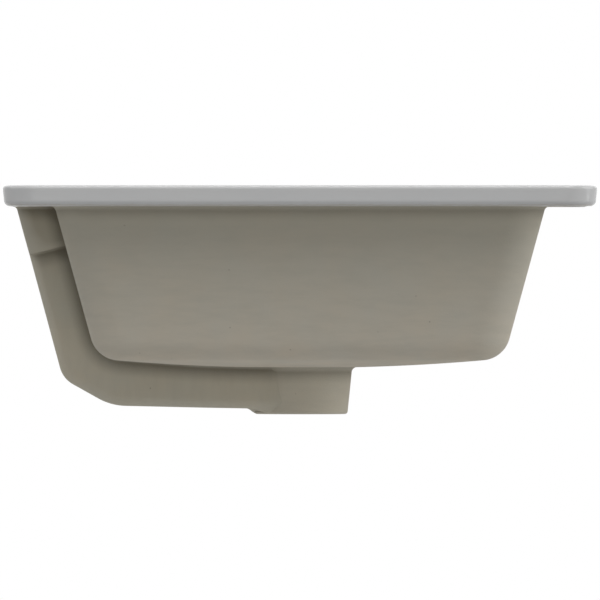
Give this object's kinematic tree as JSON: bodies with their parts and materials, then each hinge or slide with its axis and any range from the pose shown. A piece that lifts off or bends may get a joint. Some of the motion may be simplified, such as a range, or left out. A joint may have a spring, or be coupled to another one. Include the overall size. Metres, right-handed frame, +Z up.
{
  "type": "inset basin",
  "caption": "Rectangular china wash basin with a flat glazed rim, drafted bowl, bare underside, cast front overflow duct and a round outlet boss.",
  "frame": {"origin": "on the outlet's axis, in the plane of the rim's underside that rests on the counter", "axes": "+X is the user's right along the basin's width, +Y is the back, so -Y is the front with the overflow, +Z is up through the outlet"},
  "size_m": [0.5, 0.395, 0.1536],
  "materials": {
    "biscuit_rim": "bare fired body",
    "biscuit_bowl": "bare fired body",
    "white_glaze": "gloss white glaze",
    "biscuit_boss": "bare fired body",
    "biscuit_hood": "bare fired body",
    "biscuit_riser": "bare fired body",
    "biscuit_run": "bare fired body"
  },
  "bodies": {
    "root": {"rim": "biscuit_rim", "bowl": "biscuit_bowl", "glaze_coat": "white_glaze", "outlet_boss": "biscuit_boss", "overflow_hood": "biscuit_hood", "overflow_riser": "biscuit_riser", "overflow_run": "biscuit_run"}
  },
  "joints": []
}
